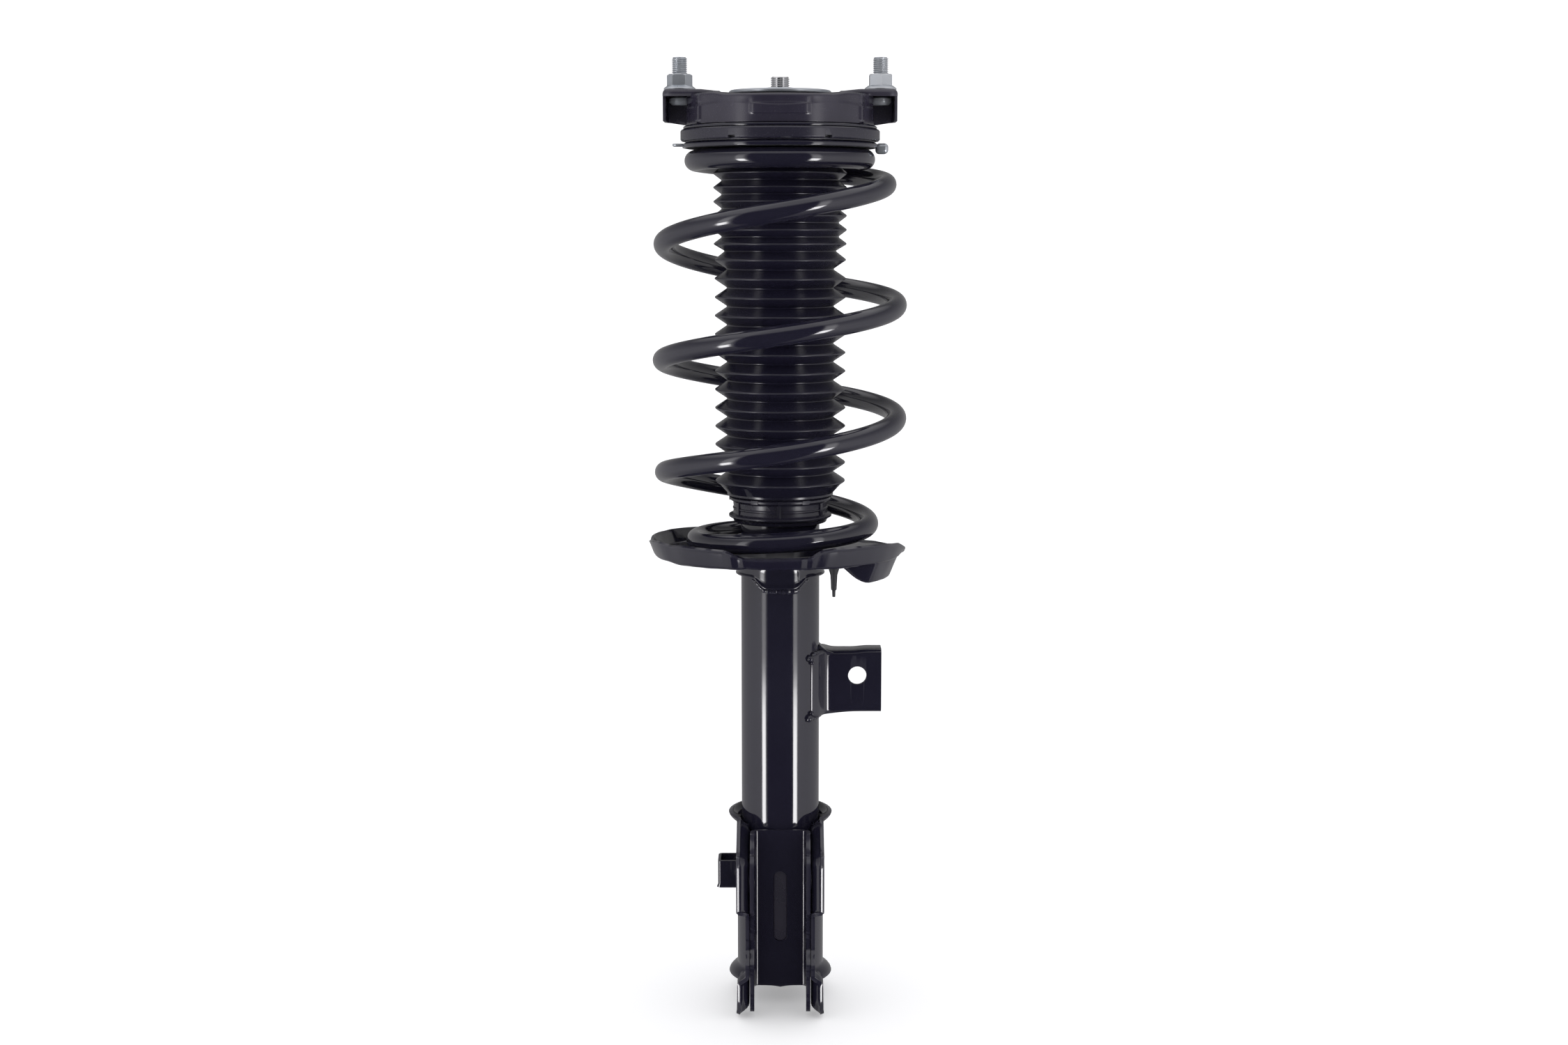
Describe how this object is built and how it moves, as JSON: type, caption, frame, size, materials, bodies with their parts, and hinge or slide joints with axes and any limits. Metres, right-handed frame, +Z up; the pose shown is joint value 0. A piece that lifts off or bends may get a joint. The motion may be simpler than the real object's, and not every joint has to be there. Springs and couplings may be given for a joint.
{
  "type": "suspension strut assembly",
  "caption": "Front suspension strut with two-stud top mount, bearing, coil spring on stamped seats, folded dust boot, damper tube, link bracket and open knuckle bracket.",
  "frame": {"origin": "on the strut axis, at the upper face of the two mounting ears, which lies against the car body", "axes": "+Z up along the strut axis into the car body, -Y the open side of the knuckle bracket, +X towards the stabiliser link bracket"},
  "size_m": [0.1653, 0.162, 0.6107],
  "materials": {
    "gloss_paint": "gloss black powder coat",
    "satin_paint": "satin black coat on the pressed mount",
    "boot_rubber": "satin moulded rubber",
    "soft_rubber": "matt moulded rubber",
    "zinc_plate": "bright zinc plating",
    "chromed_rod": "hard chrome, ground",
    "bare_steel": "machined steel",
    "sintered_iron": "sintered, matt",
    "black_plastic": "satin moulded nylon",
    "cream_plastic": "matt moulded"
  },
  "bodies": {
    "mount_and_rod": {"mount_upper_plate": "satin_paint", "mount_lower_plate": "gloss_paint", "mount_rubber": "soft_rubber", "mount_inner_sleeve": "bare_steel", "rebound_washer": "zinc_plate", "rod_nut": "zinc_plate", "stud_left": "zinc_plate", "stud_right": "zinc_plate", "nut_left": "zinc_plate", "nut_right": "zinc_plate", "bearing_upper_cap": "black_plastic", "piston_rod": "chromed_rod", "bump_stop": "cream_plastic", "rebound_stop": "black_plastic", "piston": "sintered_iron", "piston_ring": "black_plastic", "valve_shim": "bare_steel", "piston_nut": "zinc_plate"},
    "bearing_cage": {"ball_cage": "cream_plastic", "bearing_ball_1": "bare_steel", "bearing_ball_2": "bare_steel", "bearing_ball_3": "bare_steel", "bearing_ball_4": "bare_steel", "bearing_ball_5": "bare_steel", "bearing_ball_6": "bare_steel", "bearing_ball_7": "bare_steel", "bearing_ball_8": "bare_steel", "bearing_ball_9": "bare_steel", "bearing_ball_10": "bare_steel"},
    "upper_seat": {"bearing_lower_cap": "black_plastic", "bearing_seal": "soft_rubber", "upper_spring_seat": "gloss_paint", "upper_insulator": "soft_rubber", "coil_spring": "gloss_paint", "dust_boot": "boot_rubber"},
    "strut_body": {"outer_tube": "gloss_paint", "tube_base": "gloss_paint", "inner_cylinder": "bare_steel", "base_valve": "sintered_iron", "rod_guide": "sintered_iron", "rod_guide_bush": "bare_steel", "rod_seal": "soft_rubber", "strut_cap": "black_plastic", "lower_spring_seat": "gloss_paint", "lower_insulator": "soft_rubber", "seat_collar": "gloss_paint", "clevis_outer": "gloss_paint", "clevis_inner": "gloss_paint", "link_bracket": "gloss_paint", "hose_bracket": "gloss_paint"}
  },
  "joints": [
    {"name": "steer_swivel", "type": "hinge", "parent": "mount_and_rod", "child": "upper_seat", "pos_m": [0, 0, -0.0288], "axis": [0, 0, 1], "range_deg": [-40, 40]},
    {"name": "cage_orbit", "type": "hinge", "parent": "mount_and_rod", "child": "bearing_cage", "pos_m": [0, 0, -0.0288], "axis": [0, 0, 1], "range_deg": [-20, 20]},
    {"name": "damper_stroke", "type": "slide", "parent": "upper_seat", "child": "strut_body", "axis": [0, 0, 1], "range_m": [0, 0.144], "stiffness_N_per_m": 30000, "springref_m": -0.04, "deforming": ["coil_spring", "dust_boot"]}
  ],
  "couplings": [
    {"joint": "cage_orbit", "follows": "steer_swivel", "ratio": 0.5}
  ]
}
